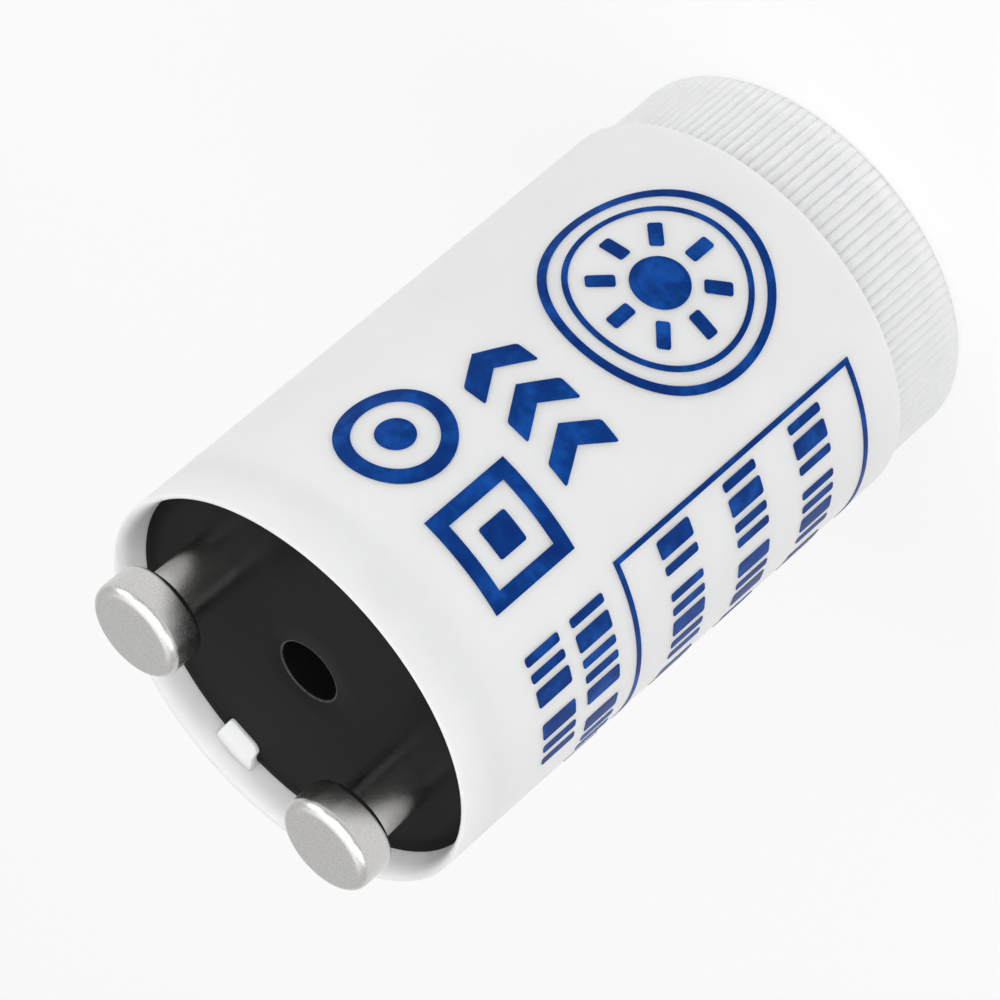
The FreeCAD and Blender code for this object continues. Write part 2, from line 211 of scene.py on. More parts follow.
def new_material(name):
    """New material, with its node tree and its shader."""
    material = bpy.data.materials.new(name)
    material.use_nodes = True
    tree = material.node_tree
    return material, tree, tree.nodes["Principled BSDF"]


def set_inputs(shader, **values):
    """Sets a shader's inputs, with underscores for the spaces in their names."""
    for name, value in values.items():
        shader.inputs[name.replace("_", " ")].default_value = value


def grain(tree, size_mm, detail=2.0, roughness=0.5, stretch=(1, 1, 1)):
    """Noise on the object's own coordinates with features of about a real size."""
    place = add_node(tree, "ShaderNodeTexCoord")
    scaled = add_node(tree, "ShaderNodeMapping", Vector=place.outputs["Object"])
    scaled.inputs["Scale"].default_value = stretch
    noise = add_node(
        tree, "ShaderNodeTexNoise",
        {"Scale": 1 / (size_mm * MM), "Detail": detail, "Roughness": roughness},
        Vector=scaled.outputs["Vector"],
    )
    return noise.outputs["Fac"]


def ramp(tree, source, stops):
    """Colour ramp over stops of (position, hex colour)."""
    node = add_node(tree, "ShaderNodeValToRGB", Fac=source)
    elements = node.color_ramp.elements
    while len(elements) < len(stops):
        elements.new(0.5)
    for element, (position, colour) in zip(elements, stops):
        element.position = position
        element.color = linear(colour)
    return node.outputs["Color"]


def spread(tree, source, low, high):
    """Maps a pattern of 0 to 1 to a range of values."""
    node = add_node(tree, "ShaderNodeMapRange", {"To Min": low, "To Max": high}, Value=source)
    return node.outputs["Result"]


def fade(tree, source, none_at, full_at):
    """Mask that goes from 0 to 1 between two values of its source."""
    node = add_node(tree, "ShaderNodeMapRange", {"From Min": none_at, "From Max": full_at}, Value=source)
    return node.outputs["Result"]


def calculate(tree, operation, first, second):
    """Mathematical operation on a socket and on another socket or a number."""
    node = add_node(tree, "ShaderNodeMath", {"operation": operation})
    tree.links.new(first, node.inputs[0])
    if isinstance(second, float):
        node.inputs[1].default_value = second
    else:
        tree.links.new(second, node.inputs[1])
    return node.outputs[0]


def blend(tree, mask, first, second):
    """Colour that goes from the first to the second as the mask goes from 0 to 1."""
    node = add_node(tree, "ShaderNodeMix", {"data_type": "RGBA"}, Factor=mask)
    tree.links.new(first, node.inputs[MIX_FIRST_COLOUR])
    if isinstance(second, str):
        node.inputs[MIX_SECOND_COLOUR].default_value = linear(second)
    else:
        tree.links.new(second, node.inputs[MIX_SECOND_COLOUR])
    return node.outputs[MIX_RESULT_COLOUR]


def bump(tree, shader, height, depth_mm, strength):
    """Fine relief on a surface, from a pattern."""
    node = add_node(tree, "ShaderNodeBump", {"Strength": strength, "Distance": depth_mm * MM}, Height=height)
    tree.links.new(node.outputs["Normal"], shader.inputs["Normal"])


def distance_from_axis(tree):
    """Distance from the part's upright axis, in metres."""
    place = add_node(tree, "ShaderNodeTexCoord")
    flat = add_node(tree, "ShaderNodeVectorMath", {"operation": "MULTIPLY"}, Vector=place.outputs["Object"])
    flat.inputs[1].default_value = (1, 1, 0)
    length = add_node(tree, "ShaderNodeVectorMath", {"operation": "LENGTH"}, Vector=flat.outputs["Vector"])
    return length.outputs["Value"]


def height_above_end(tree):
    """Height above the part's closed end, in metres."""
    place = add_node(tree, "ShaderNodeTexCoord")
    return add_node(tree, "ShaderNodeSeparateXYZ", Vector=place.outputs["Object"]).outputs["Z"]


def link_finish(tree, shader, colour, roughness):
    """Links a colour and a roughness to a shader."""
    tree.links.new(colour, shader.inputs["Base Color"])
    tree.links.new(roughness, shader.inputs["Roughness"])


def moulded_polycarbonate(name, translucence):
    """White polycarbonate, injection moulded: satin, faintly uneven, and with painted light that makes it
    paler inside the rim and on the grip.
    """
    material, tree, shader = new_material(name)
    set_inputs(
        shader, IOR=1.5, Specular_IOR_Level=0.2,
        Subsurface_Weight=translucence, Subsurface_Radius=(1.0, 0.97, 0.94), Subsurface_Scale=1.2 * MM,
    )
    tone = ramp(tree, grain(tree, 5.0, detail=3.0), [(0.3, "#E9E9E9"), (0.7, "#EDEDED")])
    # Painted light: a paler colour inside the rim and on the grip, where the lighting leaves the white too
    # dark
    painted_light_mask = fade(tree, distance_from_axis(tree), PAINTED_LIGHT_FROM_RADIUS * MM, PAINTED_LIGHT_FULL_RADIUS * MM)
    colour = blend(tree, painted_light_mask, tone, "#FBFBFB")
    link_finish(tree, shader, colour, spread(tree, grain(tree, 1.2, detail=4.0), 0.24, 0.4))
    bump(tree, shader, grain(tree, 0.35, detail=3.0), 0.003, 0.3)
    return material


def punched_laminate():
    """Black phenolic laminate, pressed and punched: smooth, finely flecked, with painted shade darkening its
    border by the wall, and lighter on the vent's rounded edge.
    """
    material, tree, shader = new_material("black_phenolic_laminate_pressed")
    set_inputs(shader, IOR=1.5, Specular_IOR_Level=0.04)
    # The real fleck is too fine to show, so it is drawn coarser
    fleck = grain(tree, 0.12, detail=4.0, roughness=0.7)
    face = ramp(tree, fleck, [(0.35, "#0F0F0F"), (0.75, "#191919")])
    # Lighter tone on the vent's rounded upper edge
    lighter_edge_tone = ramp(tree, fleck, [(0.35, "#2C2C2C"), (0.65, "#5C5C5C")])
    radius = distance_from_axis(tree)
    # Painted shade: a near black band along the face's border, where the rim's wall shades the disc
    painted_shade_mask = fade(tree, radius, (PAINTED_SHADE_RADIUS - PAINTED_SHADE_BLEND) * MM, (PAINTED_SHADE_RADIUS + PAINTED_SHADE_BLEND) * MM)
    inwards = fade(tree, radius, (VENT_EDGE_RADIUS + VENT_LIGHTER_WIDTH) * MM, VENT_EDGE_RADIUS * MM)
    upwards = fade(
        tree, height_above_end(tree),
        (VENT_EDGE_Z - VENT_LIGHTER_BLEND) * MM, (VENT_EDGE_Z + VENT_LIGHTER_BLEND) * MM,
    )
    face_with_painted_shade = blend(tree, painted_shade_mask, face, "#050505")
    lighter_at_vent = blend(tree, calculate(tree, "MULTIPLY", inwards, upwards), face_with_painted_shade, lighter_edge_tone)
    link_finish(tree, shader, lighter_at_vent, spread(tree, fleck, 0.26, 0.4))
    bump(tree, shader, fleck, 0.004, 0.35)
    return material


def plated_brass():
    """Brass, cold headed, nickel plated and tumbled: satin, with a fine peened grain and light rubs."""
    material, tree, shader = new_material("nickel_plated_brass_tumbled")
    set_inputs(shader, Metallic=1.0)
    # The real peening is too fine to show, so it is drawn coarser
    fine = grain(tree, 0.08, detail=4.0, roughness=0.75)
    colour = ramp(tree, fine, [(0.3, "#BDBCBA"), (0.7, "#DAD9D7")])
    rubs = grain(tree, 0.16, detail=4.0, roughness=0.7)
    link_finish(tree, shader, colour, spread(tree, rubs, 0.06, 0.32))
    bump(tree, shader, fine, 0.009, 0.9)
    return material


def pad_printed_ink():
    """Blue ink, pad printed: a film, deeper where it lies thick and a little clouded where it is thin."""
    material, tree, shader = new_material("blue_ink_pad_printed")
    set_inputs(shader, IOR=1.45, Specular_IOR_Level=0.08)
    film = grain(tree, 1.4, detail=5.0, roughness=0.6)
    colour = ramp(tree, film, [(0.32, "#002A72"), (0.5, "#00377F"), (0.68, "#0F4CA2")])
    link_finish(tree, shader, colour, spread(tree, film, 0.3, 0.42))
    return material


def blown_glass():
    """Soda-lime glass, drawn and sealed by flame: clear, with faint waves from the flame."""
    material, tree, shader = new_material("soda_lime_glass_flame_sealed")
    set_inputs(shader, IOR=1.52, Roughness=0.03, Transmission_Weight=1.0, Base_Color=linear("#F4F8F7"))
    bump(tree, shader, grain(tree, 1.5, detail=1.0), 0.02, 0.3)
    return material


def drawn_metal(name, dark, light, rough_low, rough_high, grain_mm):
    """Drawn or rolled metal: fine lines along the length, in tone and in gloss."""
    material, tree, shader = new_material(name)
    set_inputs(shader, Metallic=1.0)
    # Real drawing lines are too fine to show, so they are drawn coarser
    lines = grain(tree, grain_mm, detail=3.0, stretch=(1, 1, 0.08))
    colour = ramp(tree, lines, [(0.3, dark), (0.7, light)])
    link_finish(tree, shader, colour, spread(tree, lines, rough_low, rough_high))
    bump(tree, shader, lines, 0.004, 0.4)
    return material


def dipped_resin():
    """Epoxy resin, dipped: brick red, rounded and glossy, with a slight orange peel."""
    material, tree, shader = new_material("red_epoxy_resin_dipped")
    set_inputs(shader, IOR=1.5)
    peel = grain(tree, 0.7)
    colour = ramp(tree, peel, [(0.3, "#7E2216"), (0.7, "#8C2A1C")])
    link_finish(tree, shader, colour, spread(tree, peel, 0.16, 0.28))
    bump(tree, shader, peel, 0.03, 0.4)
    return material


WHITE = moulded_polycarbonate("white_polycarbonate_moulded", 0.8)
# Light that goes into a lug is lost in its hidden root, so the lugs' finish lets less in
LUG_WHITE = moulded_polycarbonate("white_polycarbonate_moulded_lug", 0.6)
BLACK = punched_laminate()
PLATED = plated_brass()
INK = pad_printed_ink()
GLASS = blown_glass()
NICKEL_ROD = drawn_metal("nickel_rod_drawn", "#A9A8A4", "#B9B8B4", 0.25, 0.4, 0.1)
BIMETAL = drawn_metal("bimetal_strip_rolled", "#9A9894", "#ABA9A4", 0.3, 0.45, 0.08)
TINNED_WIRE = drawn_metal("copper_wire_tinned", "#C3BEB4", "#D0CCC4", 0.22, 0.36, 0.08)
SOLDER = drawn_metal("tin_solder_flowed", "#B8B9BB", "#C8C9CB", 0.12, 0.25, 0.4)
RESIN = dipped_resin()


def make_object(name, bm, material):
    """Turns a bmesh into a smooth piece with its edges kept, which rides on the case."""
    mesh = bpy.data.meshes.new(name)
    bm.to_mesh(mesh)
    bm.free()
    mesh.shade_smooth()
    mesh.set_sharp_from_angle(angle=math.radians(SHARP_FROM_DEG))
    mesh.materials.append(material)
    piece = bpy.data.objects.new(name, mesh)
    bpy.context.scene.collection.objects.link(piece)
    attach(piece, "case")
    return piece


def round_corner(centre_r, centre_z, radius, from_deg, to_deg, steps=5):
    """Points of a rounded corner in an outline of (radius, height)."""
    points = []
    for step in range(steps + 1):
        angle = math.radians(from_deg + (to_deg - from_deg) * step / steps)
        points.append((centre_r + radius * math.cos(angle), centre_z + radius * math.sin(angle)))
    return points


def spin_outline(points, steps, centre_x=0.0):
    """Solid of revolution about an upright axis, from an outline of (radius, height) in millimetres."""
    bm = bmesh.new()
    verts = [bm.verts.new((r * MM, 0, z * MM)) for r, z in points]
    edges = [bm.edges.new(pair) for pair in zip(verts, verts[1:])]
    bmesh.ops.spin(
        bm, geom=verts + edges, cent=(0, 0, 0), axis=(0, 0, 1),
        angle=TAU, steps=steps, use_merge=True, use_duplicate=False,
    )
    bmesh.ops.remove_doubles(bm, verts=bm.verts, dist=MERGE_DISTANCE)
    bmesh.ops.recalc_face_normals(bm, faces=bm.faces)
    bmesh.ops.translate(bm, verts=bm.verts, vec=(centre_x * MM, 0, 0))
    return bm


def cut_along(bm, axis, positions):
    """Cuts a mesh with planes across one axis, so that it can be bent or sloped there."""
    normal = Vector((0, 0, 0))
    normal[axis] = 1
    for position in positions:
        place = Vector((0, 0, 0))
        place[axis] = position
        geometry = bm.verts[:] + bm.edges[:] + bm.faces[:]
        bmesh.ops.bisect_plane(bm, geom=geometry, dist=CUT_TOLERANCE, plane_co=place, plane_no=normal)


def make_canister():
    """Canister: a spun shell with its ribbed grip, whose outer wall is pulled in to make the grooves."""
    rim_top = RIM_HEIGHT - RIM_EDGE_ROUND
    outline = [(0, 0), (CLOSED_END_RING, 0)]
    outline += round_corner(
        GRIP_RADIUS - GRIP_EDGE_ROUND, GRIP_EDGE_ROUND, GRIP_EDGE_ROUND, -90, 0, steps=8,
    )
    outline += [
        (GRIP_RADIUS, GRIP_EDGE_ROUND + GRIP_RING_GAP), (GRIP_RADIUS, GRIP_HEIGHT / 2),
        (GRIP_RADIUS, GRIP_HEIGHT),
    ]
    outline += round_corner(
        BODY_RADIUS - STEP_EDGE_ROUND, GRIP_HEIGHT + STEP_EDGE_ROUND, STEP_EDGE_ROUND, -90, 0, steps=4,
    )
    outline += [(BODY_RADIUS, GRIP_HEIGHT + BODY_RING_GAP), (BODY_RADIUS, RIM_HEIGHT / 2)]
    outline += round_corner(BODY_RADIUS - RIM_EDGE_ROUND, rim_top, RIM_EDGE_ROUND, 0, 90, steps=3)
    # The rim's inner side is a rounded lead-in, deeper than it is wide
    lead_in = round_corner(INNER_RADIUS + RIM_INNER_ROUND, 0, RIM_INNER_ROUND, 90, 180, steps=10)
    for radius, height in lead_in:
        outline.append((radius, RIM_HEIGHT - RIM_LEAD_IN * (1 - height / RIM_INNER_ROUND)))
    outline += [
        (INNER_RADIUS, DISC_SEAT_Z), (LOWER_RADIUS, DISC_SEAT_Z),
        (LOWER_RADIUS, FLOOR_THICKNESS), (0, FLOOR_THICKNESS),
    ]
    columns = RIB_COUNT * COLUMNS_PER_RIB
    bm = spin_outline(outline, columns)
    for vert in bm.verts:
        radius = math.hypot(vert.co.x, vert.co.y) / MM
        below_step = vert.co.z / MM < GRIP_HEIGHT + TOLERANCE
        if below_step and GRIP_RADIUS - GROOVE_DEPTH < radius < GRIP_RADIUS + TOLERANCE:
            column = round(math.atan2(vert.co.y, vert.co.x) / TAU * columns)
            floor_radius = GRIP_RADIUS - GROOVE_DEPTH * GROOVE_SHARE[column % COLUMNS_PER_RIB]
            pull = min(1.0, floor_radius / radius)
            vert.co.x *= pull
            vert.co.y *= pull
    return make_object("canister_shell", bm, WHITE)


def lug_height(reach_in):
    """Height of a lug's top above the disc, at a distance inwards from the wall."""
    slope = LUG_LIP + (LUG_HEIGHT - LUG_LIP) * (1 - reach_in / LUG_REACH)
    rise = max(0.0, 1 - reach_in / LUG_TOP_FILLET)
    return slope + LUG_FILLET_RISE * (1 - math.sqrt(1 - rise ** 2))


def make_lug(azimuth_deg):
    """Snap lug on the inner wall: a tongue that slopes to its tip, with fillets where it leaves the wall."""
    root = INNER_RADIUS + WALL / 2
    tip = INNER_RADIUS - LUG_REACH
    half = LUG_WIDTH / 2
    near, far = LUG_FILLETS
    near_corner, far_corner = LUG_TIP_CORNERS
    outline = [(root, -half - near)]
    outline += round_corner(INNER_RADIUS - near, -half - near, near, 0, 90)
    outline += round_corner(tip + near_corner, -half + near_corner, near_corner, 270, 180)
    outline += round_corner(tip + far_corner, half - far_corner, far_corner, 180, 90)
    outline += round_corner(INNER_RADIUS - far, half + far, far, -90, 0)
    outline.append((root, half + far))
    bm = bmesh.new()
    face = bm.faces.new([bm.verts.new((x * MM, y * MM, DISC_TOP_Z * MM)) for x, y in outline])
    raised = bmesh.ops.extrude_face_region(bm, geom=[face], use_keep_orig=True)["geom"]
    top = [item for item in raised if isinstance(item, bmesh.types.BMVert)]
    bmesh.ops.translate(bm, verts=top, vec=(0, 0, LUG_HEIGHT * MM))
    bmesh.ops.recalc_face_normals(bm, faces=bm.faces)
    rim = [edge for edge in bm.edges if all(vert in top and vert.co.x < root * MM for vert in edge.verts)]
    bmesh.ops.bevel(
        bm, geom=rim, offset=LUG_EDGE_ROUND * MM, segments=4, profile=0.5,
        affect="EDGES", material=-1, clamp_overlap=True,
    )
    turns = [math.pi / 2 * step / LUG_FILLET_STEPS for step in range(LUG_FILLET_STEPS + 1)]
    cut_along(bm, 0, [(INNER_RADIUS - LUG_TOP_FILLET * (1 - math.sin(turn))) * MM for turn in turns])
    for vert in bm.verts:
        share = (vert.co.z / MM - DISC_TOP_Z) / LUG_HEIGHT
        vert.co.z = (DISC_TOP_Z + share * lug_height(max(0.0, INNER_RADIUS - vert.co.x / MM))) * MM
    turn = Matrix.Rotation(math.radians(azimuth_deg), 3, "Z")
    bmesh.ops.rotate(bm, verts=bm.verts, cent=(0, 0, 0), matrix=turn)
    return make_object(f"snap_lug_{azimuth_deg}", bm, LUG_WHITE)


def make_disc():
    """Base disc: its face rolls down a little at the edge, and the vent's punched burr hangs under it."""
    radius = INNER_RADIUS - DISC_CLEARANCE
    collar_radius = VENT_RADIUS + VENT_COLLAR_WIDTH
    collar_z = DISC_SEAT_Z - VENT_COLLAR_DEPTH
    outline = round_corner(VENT_EDGE_RADIUS, VENT_EDGE_Z, VENT_EDGE_ROUND, 180, 90, steps=4)
    outline += [(ring, DISC_TOP_Z) for ring in DISC_RINGS]
    for step in range(DISC_EDGE_STEPS + 1):
        share = step / DISC_EDGE_STEPS
        outline.append((radius - DISC_EDGE_WIDTH * (1 - share), DISC_TOP_Z - DISC_EDGE_DROP * share ** 2))
    outline += [
        (radius, DISC_SEAT_Z), (collar_radius, DISC_SEAT_Z),
        (collar_radius, collar_z), (VENT_RADIUS, collar_z),
    ]
    outline.append(outline[0])
    return make_object("base_disc_dressed", spin_outline(outline, DISC_STEPS), BLACK)


def make_pin(side):
    """Contact pin: head, neck, the shank through the disc, its rivet and the bored tail."""
    front = HEAD_TOP_Z - HEAD_EDGE_ROUND
    back = HEAD_BACK_Z + HEAD_BACK_ROUND
    rivet_z = DISC_SEAT_Z - RIVET_THICKNESS
    tail_z = DISC_SEAT_Z - TAIL_LENGTH
    outline = [(0, HEAD_TOP_Z), (HEAD_RADIUS * HEAD_RING_SHARE, HEAD_TOP_Z)]
    outline += round_corner(HEAD_RADIUS - HEAD_EDGE_ROUND, front, HEAD_EDGE_ROUND, 90, 0, steps=8)
    outline += round_corner(HEAD_RADIUS - HEAD_BACK_ROUND, back, HEAD_BACK_ROUND, 0, -90, steps=8)
    outline += [
        (NECK_RADIUS, HEAD_BACK_Z), (NECK_RADIUS, HEAD_BACK_Z - NECK_LENGTH / 2), (NECK_RADIUS, DISC_TOP_Z),
        (SHANK_RADIUS, DISC_TOP_Z), (SHANK_RADIUS, DISC_SEAT_Z),
        (RIVET_RADIUS, DISC_SEAT_Z), (RIVET_RADIUS, rivet_z),
        (SHANK_RADIUS, rivet_z), (SHANK_RADIUS, tail_z),
        (TAIL_BORE_RADIUS, tail_z), (TAIL_BORE_RADIUS, tail_z + TAIL_BORE_DEPTH),
        (0, tail_z + TAIL_BORE_DEPTH),
    ]
    name = "contact_pin_right" if side > 0 else "contact_pin_left"
    pin = make_object(name + "_dressed", spin_outline(outline, PIN_STEPS, side * PIN_X), PLATED)
    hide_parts(name)


# Print: flat shapes on the unrolled side, with x along the arc and y up, which are then wrapped round it


def flat_plate(width, height):
    """Plain rectangle about the zero point."""
    bm = bmesh.new()
    bmesh.ops.create_grid(bm, x_segments=1, y_segments=1, size=0.5)
    bmesh.ops.scale(bm, verts=bm.verts, vec=(width, height, 1))
    return bm


def flat_bar(width, height):
    """Bar with softened corners."""
    bm = flat_plate(width, height)
    bmesh.ops.bevel(
        bm, geom=bm.verts[:], offset=INK_CORNER, segments=4, profile=0.5,
        affect="VERTICES", material=-1, clamp_overlap=True,
    )
    return bm


def flat_frame(width, height, line):
    """Frame of one line width, with its middle open."""
    bm = flat_plate(width, height)
    middle = bm.faces[:]
    bmesh.ops.inset_region(bm, faces=middle, thickness=line, use_boundary=True, use_even_offset=True)
    bmesh.ops.delete(bm, geom=middle, context="FACES")
    return bm


def flat_disc(radius):
    """Round dot."""
    bm = bmesh.new()
    bmesh.ops.create_circle(bm, cap_ends=True, cap_tris=False, segments=DOT_SEGMENTS, radius=radius)
    return bm


def flat_ring(radius, line):
    """Ring of one line width, measured to its outer edge."""
    bm = bmesh.new()
    for edge_radius in (radius, radius - line):
        bmesh.ops.create_circle(bm, cap_ends=False, segments=RING_SEGMENTS, radius=edge_radius)
    bmesh.ops.bridge_loops(bm, edges=bm.edges[:])
    return bm


def flat_chevron():
    """Bar that is folded to a point at its middle height."""
    bm = flat_bar(CHEVRON_WIDTH, CHEVRON_HEIGHT)
    cut_along(bm, 1, [0.0])
    for vert in bm.verts:
        vert.co.x -= CHEVRON_POINT * (1 - 2 * abs(vert.co.y) / CHEVRON_HEIGHT)
    return bm


def lay_down(sheet, shape, azimuth_deg, z, aside=0.0):
    """Adds a flat shape to the print's sheet, with its middle at an azimuth and a height."""
    along = -math.radians(azimuth_deg) * BODY_RADIUS + aside
    bmesh.ops.translate(shape, verts=shape.verts, vec=(along, z, 0))
    mesh = bpy.data.meshes.new("flat_shape")
    shape.to_mesh(mesh)
    shape.free()
    sheet.from_mesh(mesh)
    bpy.data.meshes.remove(mesh)


def lay_sun(sheet, z):
    """Roundel of two rings, with a plain sun and its rays in the middle."""
    lay_down(sheet, flat_ring(ROUNDEL_RADIUS, ROUNDEL_LINE), ROUNDEL_AZIMUTH, z)
    lay_down(sheet, flat_ring(INNER_RING_RADIUS, INNER_RING_LINE), ROUNDEL_AZIMUTH, z)
    lay_down(sheet, flat_disc(SUN_RADIUS), ROUNDEL_AZIMUTH, z)
    for ray in range(RAY_COUNT):
        bar = flat_bar(RAY_END - RAY_START, RAY_WIDTH)
        bmesh.ops.translate(bar, verts=bar.verts, vec=((RAY_START + RAY_END) / 2, 0, 0))
        turn = Matrix.Rotation(TAU * ray / RAY_COUNT, 3, "Z")
        bmesh.ops.rotate(bar, verts=bar.verts, cent=(0, 0, 0), matrix=turn)
        lay_down(sheet, bar, ROUNDEL_AZIMUTH, z)


def lay_row(sheet, bottom_z, groups):
    """Row of upright bars in groups, the wide ones twice as wide as the narrow ones."""
    azimuth = FRAME_AZIMUTH - TEXT_INDENT_DEG
    z = bottom_z + TEXT_HEIGHT / 2
    aside = 0.0
    for group in groups:
        for bar in group:
            width = BAR_WIDTH * (2 if bar == "W" else 1)
            lay_down(sheet, flat_bar(width, TEXT_HEIGHT), azimuth, z, aside + width / 2)
            aside += width + BAR_GAP
        aside += WORD_GAP - BAR_GAP


def make_print():
    """All printed marks as one thin film of ink on the side."""
    sheet = bmesh.new()
    roundel_z = FIRST_Z + ROUNDEL_RADIUS
    lay_sun(sheet, roundel_z)

    chevron_z = roundel_z + ROUNDEL_RADIUS + ROW_GAP + CHEVRON_HEIGHT / 2
    for chevron in range(CHEVRON_COUNT):
        aside = (chevron - (CHEVRON_COUNT - 1) / 2) * CHEVRON_SPACING
        lay_down(sheet, flat_chevron(), CHEVRON_AZIMUTH, chevron_z, aside)

    mark_z = chevron_z + CHEVRON_HEIGHT / 2 + MARK_GAP + MARK_SIZE / 2
    lay_down(sheet, flat_ring(MARK_SIZE / 2, TARGET_LINE), TARGET_AZIMUTH, mark_z)
    lay_down(sheet, flat_disc(TARGET_DOT_RADIUS), TARGET_AZIMUTH, mark_z)
    lay_down(sheet, flat_frame(SQUARE_SIZE, SQUARE_SIZE, SQUARE_LINE), SQUARE_AZIMUTH, mark_z)
    lay_down(sheet, flat_bar(SQUARE_DOT_SIZE, SQUARE_DOT_SIZE), SQUARE_AZIMUTH, mark_z)

    frame_arc = BODY_RADIUS * math.radians(FRAME_SPAN_DEG)
    frame_sheet = flat_frame(frame_arc, FRAME_HEIGHT, FRAME_LINE)
    lay_down(sheet, frame_sheet, FRAME_AZIMUTH, FIRST_Z + FRAME_HEIGHT / 2, frame_arc / 2)
    text_z = FIRST_Z + (FRAME_HEIGHT - 2 * TEXT_PITCH - TEXT_HEIGHT) / 2
    for row, groups in enumerate(FRAME_ROWS):
        lay_row(sheet, text_z + row * TEXT_PITCH, groups)
    lower_z = FIRST_Z + FRAME_HEIGHT + LOWER_TEXT_GAP
    for row, groups in enumerate(LOWER_ROWS):
        lay_row(sheet, lower_z + row * LOWER_TEXT_PITCH, groups)

    first = min(vert.co.x for vert in sheet.verts)
    last = max(vert.co.x for vert in sheet.verts)
    cuts = int((last - first) / WRAP_STEP)
    cut_along(sheet, 0, [first + WRAP_STEP * (cut + 0.5) for cut in range(cuts)])
    for vert in sheet.verts:
        azimuth = -vert.co.x / BODY_RADIUS
        radius = BODY_RADIUS - INK_SUNK
        vert.co = Vector((radius * math.cos(azimuth), radius * math.sin(azimuth), vert.co.y)) * MM
    raised = bmesh.ops.extrude_face_region(sheet, geom=sheet.faces[:], use_keep_orig=True)["geom"]
    grow = (BODY_RADIUS + INK_PROUD) / (BODY_RADIUS - INK_SUNK)
    upper = [item for item in raised if isinstance(item, bmesh.types.BMVert)]
    bmesh.ops.scale(sheet, verts=upper, vec=(grow, grow, 1))
    bmesh.ops.recalc_face_normals(sheet, faces=sheet.faces)
    return make_object("printed_film", sheet, INK)


canister = make_canister()
lugs = [make_lug(90), make_lug(270)]
for piece in [canister, *lugs]:
    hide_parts("canister")
disc = make_disc()
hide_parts("base_disc")
for side in (1, -1):
    make_pin(side)
film = make_print()
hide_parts("printed_marks")

FINISHES = {
    "glow_bulb": GLASS,
    "fixed_electrode": NICKEL_ROD,
    "blade_post": NICKEL_ROD,
    "bimetal_strip": BIMETAL,
    "bulb_lead_left": TINNED_WIRE,
    "bulb_lead_right": TINNED_WIRE,
    "capacitor": RESIN,
    "capacitor_lead_left": TINNED_WIRE,
    "capacitor_lead_right": TINNED_WIRE,
    "solder_left": SOLDER,
    "solder_right": SOLDER,
}
for node, material in FINISHES.items():
    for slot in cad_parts[node].material_slots:
        slot.material = material

# Camera, from a fit of the part's outlines to the photograph
FOCAL_PIXELS = 5647.6
SENSOR_WIDTH = 36.0
CAMERA_ELEVATION = 29.907
CAMERA_AZIMUTH = -2.178
CAMERA_ROLL = -130.697
CAMERA_DISTANCE = 259.98
CAMERA_TARGET = Vector((0, 0, 20.0))
CENTRE_PIXEL_X = 518.5
CENTRE_PIXEL_Y = 490.9

# Strength of the surroundings as light, and as mirror-like surfaces see them low down and overhead.
# The second rises to the third between two heights on a sphere of radius 1 round the part.
WORLD_LIGHT = 0.46
WORLD_MIRRORED = 0.75
WORLD_MIRRORED_ABOVE = 1.5
MIRRORED_RISE_FROM = 0.58
MIRRORED_RISE_TO = 0.85

# Floor in metres, and how much of what the camera and mirror-like surfaces see of it is its own white
FLOOR_WIDTH = 3.0
FLOOR_GLOW_SHARE = 0.8

# Square soft lamps, all at one distance from the middle of the part and turned to it, in metres:
# name, azimuth and elevation in degrees, width, and power in watts
LAMP_DISTANCE = 0.5
LAMP_TARGET = Vector((0, 0, 0.02))
LAMPS = (
    ("lamp_right", -10, 30, 0.3, 0.5),
    ("lamp_left", -158, 30, 0.3, 0.5),
    ("lamp_top", -88, 58, 0.6, 1.65),
)


def make_camera():
    """Camera at the photograph's place, with its middle shifted as in the fit."""
    elevation = math.radians(CAMERA_ELEVATION)
    azimuth = math.radians(CAMERA_AZIMUTH)
    roll = math.radians(CAMERA_ROLL)
    back = Vector((
        math.sin(azimuth) * math.cos(elevation),
        -math.cos(azimuth) * math.cos(elevation),
        math.sin(elevation),
    ))
    level_right = Vector((math.cos(azimuth), math.sin(azimuth), 0))
    level_up = back.cross(level_right)
    right = level_right * math.cos(roll) + level_up * math.sin(roll)
    up = level_up * math.cos(roll) - level_right * math.sin(roll)
    data = bpy.data.cameras.new("camera")
    data.sensor_width = SENSOR_WIDTH
    data.lens = FOCAL_PIXELS * SENSOR_WIDTH / IMAGE_SIZE
    data.shift_x = (IMAGE_SIZE / 2 - CENTRE_PIXEL_X) / IMAGE_SIZE
    data.shift_y = (CENTRE_PIXEL_Y - IMAGE_SIZE / 2) / IMAGE_SIZE
    data.clip_start = 0.01
    data.clip_end = 20
    camera = bpy.data.objects.new("camera", data)
    camera.matrix_world = Matrix((
        (right.x, up.x, back.x, 0),
        (right.y, up.y, back.y, 0),
        (right.z, up.z, back.z, 0),
        (0, 0, 0, 1),
    ))
    camera.location = (CAMERA_TARGET + back * CAMERA_DISTANCE) * MM
    bpy.context.scene.collection.objects.link(camera)
    bpy.context.scene.camera = camera


def make_softbox(name, azimuth_deg, elevation_deg, width, watts):
    """Soft lamp that faces the middle of the part."""
    azimuth = math.radians(azimuth_deg)
    elevation = math.radians(elevation_deg)
    away = Vector((
        math.cos(azimuth) * math.cos(elevation),
        math.sin(azimuth) * math.cos(elevation),
        math.sin(elevation),
    ))
    data = bpy.data.lights.new(name, "AREA")
    data.shape = "SQUARE"
    data.size = width
    data.energy = watts
    lamp = bpy.data.objects.new(name, data)
    lamp.rotation_mode = "QUATERNION"
    lamp.rotation_quaternion = away.to_track_quat("Z", "Y")
    lamp.location = LAMP_TARGET + away * LAMP_DISTANCE
    bpy.context.scene.collection.objects.link(lamp)


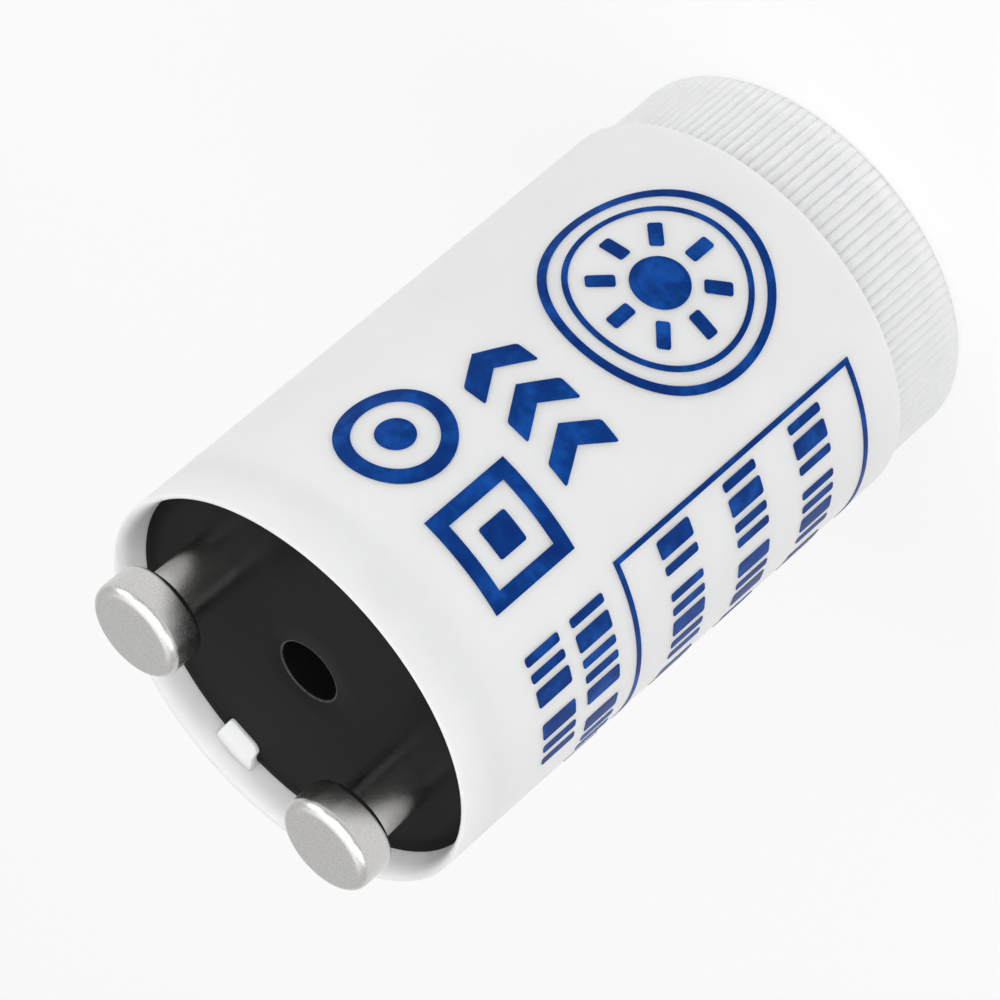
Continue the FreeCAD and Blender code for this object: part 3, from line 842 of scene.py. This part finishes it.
def make_floor():
    """Matt white board that fills the view; the camera sees it near white, with the part's shadow kept."""
    bm = flat_plate(FLOOR_WIDTH, FLOOR_WIDTH)
    mesh = bpy.data.meshes.new("floor")
    bm.to_mesh(mesh)
    bm.free()
    floor = bpy.data.objects.new("floor", mesh)
    bpy.context.scene.collection.objects.link(floor)
    material, tree, board = new_material("white_board_matt")
    set_inputs(board, Roughness=0.9, Base_Color=linear("#F2F2F2"), Specular_IOR_Level=0.0)
    glow = add_node(tree, "ShaderNodeEmission", {"Color": linear("#FDFDFD"), "Strength": 1.0})
    path = add_node(tree, "ShaderNodeLightPath")
    shown = calculate(tree, "MAXIMUM", path.outputs["Is Camera Ray"], path.outputs["Is Glossy Ray"])
    mixed = add_node(tree, "ShaderNodeMixShader", Fac=calculate(tree, "MULTIPLY", shown, FLOOR_GLOW_SHARE))
    tree.links.new(board.outputs[0], mixed.inputs[1])
    tree.links.new(glow.outputs[0], mixed.inputs[2])
    tree.links.new(mixed.outputs[0], tree.nodes["Material Output"].inputs["Surface"])
    floor.data.materials.append(material)


def make_world():
    """Even, pale surroundings, white to the camera. Mirror-like surfaces see them brighter overhead."""
    world = bpy.data.worlds.new("studio")
    world.use_nodes = True
    tree = world.node_tree
    around = tree.nodes["Background"]
    around.inputs["Color"].default_value = linear("#FDFDFD")
    path = add_node(tree, "ShaderNodeLightPath")
    place = add_node(tree, "ShaderNodeTexCoord")
    parts = add_node(tree, "ShaderNodeSeparateXYZ", Vector=place.outputs["Generated"])
    overhead = fade(tree, parts.outputs["Z"], MIRRORED_RISE_FROM, MIRRORED_RISE_TO)
    mirrored = spread(tree, overhead, WORLD_MIRRORED, WORLD_MIRRORED_ABOVE)
    is_glossy = path.outputs["Is Glossy Ray"]
    indirect = add_node(tree, "ShaderNodeMapRange", {"To Min": WORLD_LIGHT}, Value=is_glossy)
    tree.links.new(mirrored, indirect.inputs["To Max"])
    strength = add_node(tree, "ShaderNodeMapRange", {"To Max": 1.0}, Value=path.outputs["Is Camera Ray"])
    tree.links.new(indirect.outputs["Result"], strength.inputs["To Min"])
    tree.links.new(strength.outputs["Result"], around.inputs["Strength"])
    bpy.context.scene.world = world


make_camera()
make_floor()
make_world()
for lamp in LAMPS:
    make_softbox(*lamp)
bpy.context.scene.view_settings.view_transform = "Standard"
